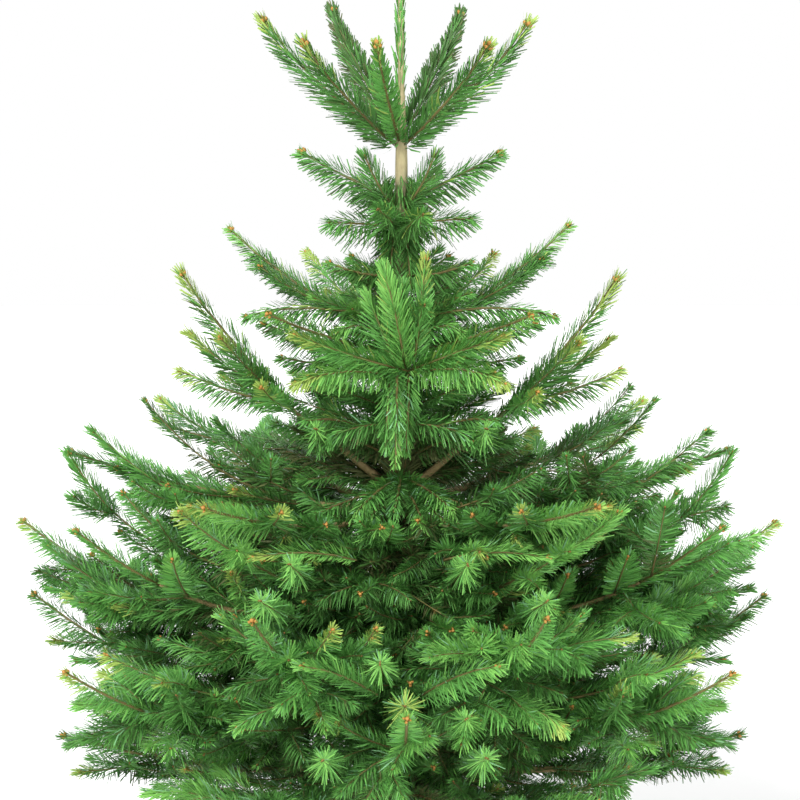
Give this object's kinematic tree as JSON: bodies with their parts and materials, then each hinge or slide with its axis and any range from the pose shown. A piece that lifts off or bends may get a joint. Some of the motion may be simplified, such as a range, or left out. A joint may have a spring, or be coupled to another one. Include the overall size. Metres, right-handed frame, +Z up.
{
  "type": "cut fir christmas tree on a plank cross stand",
  "caption": "Undecorated cut fir with flat glossy needles in tiered whorls, its stem standing on a plain cross of halved wooden planks.",
  "frame": {"origin": "middle of the stand's flat underside, below the stem, on the level it stands on", "axes": "+Z up along the stem to the leader's tip, -Y towards the tree's front, +X to the right of someone facing that front"},
  "size_m": [1.1784, 1.0499, 1.504],
  "materials": {
    "bark": "grey-brown bark with resin blisters, paler and greener towards the leader",
    "twig_bark": "smooth tan to brown bark of boughs and twigs",
    "needles": "waxy flat needles, mid green",
    "needles_dark": "waxy flat needles, older and deeper green",
    "needles_young": "waxy flat needles of the last growth, brighter yellow green",
    "pine_plank": "bare planed pine with long grain"
  },
  "bodies": {
    "root": {"bough_3_back_left": "twig_bark", "bough_3_back_right": "twig_bark", "bough_3_front_left": "twig_bark", "bough_3_front_right": "twig_bark", "bough_3_rising_left": "twig_bark", "bough_3_rising_right": "twig_bark", "bough_3_side_left": "twig_bark", "bough_3_side_right": "twig_bark", "bough_4_front_left": "twig_bark", "bough_4_front_right": "twig_bark", "collar_lower": "needles", "collar_upper": "needles", "leader_needles": "needles_young", "mass_2_back_left": "needles", "mass_2_back_right": "needles", "mass_2_front_left": "needles", "mass_2_front_right": "needles", "mass_2_side_left": "needles", "mass_2_side_right": "needles", "mass_2_upright": "needles_young", "mass_3_back_left": "needles", "mass_3_back_right": "needles", "mass_3_front_left": "needles", "mass_3_front_right": "needles", "mass_3_rising_left": "needles_young", "mass_3_rising_right": "needles_young", "mass_3_side_left": "needles", "mass_3_side_right": "needles", "mass_4_back_left": "needles", "mass_4_back_right": "needles", "mass_4_fore_left": "needles", "mass_4_fore_right": "needles", "mass_4_front_left": "needles", "mass_4_front_right": "needles", "mass_4_side_left": "needles", "mass_4_side_right": "needles", "mass_5_back_left": "needles_dark", "mass_5_back_right": "needles_dark", "mass_5_fore_left": "needles_dark", "mass_5_fore_right": "needles_dark", "mass_5_front": "needles_dark", "mass_5_side_left": "needles_dark", "mass_5_side_right": "needles_dark", "mass_6_back": "needles_dark", "mass_6_front_left": "needles_dark", "mass_6_front_right": "needles_dark", "mass_6_side_left": "needles_dark", "mass_6_side_right": "needles_dark", "plank_lower": "pine_plank", "plank_upper": "pine_plank", "stem_shoot_high_left": "needles", "stem_shoot_high_right": "needles", "top_shoot_back_left": "needles_young", "top_shoot_back_right": "needles_young", "top_shoot_front": "needles_young", "top_shoot_inner_left": "needles_young", "top_shoot_inner_right": "needles_young", "top_shoot_outer_left": "needles_young", "top_shoot_outer_right": "needles_young", "trunk": "bark"}
  },
  "joints": []
}
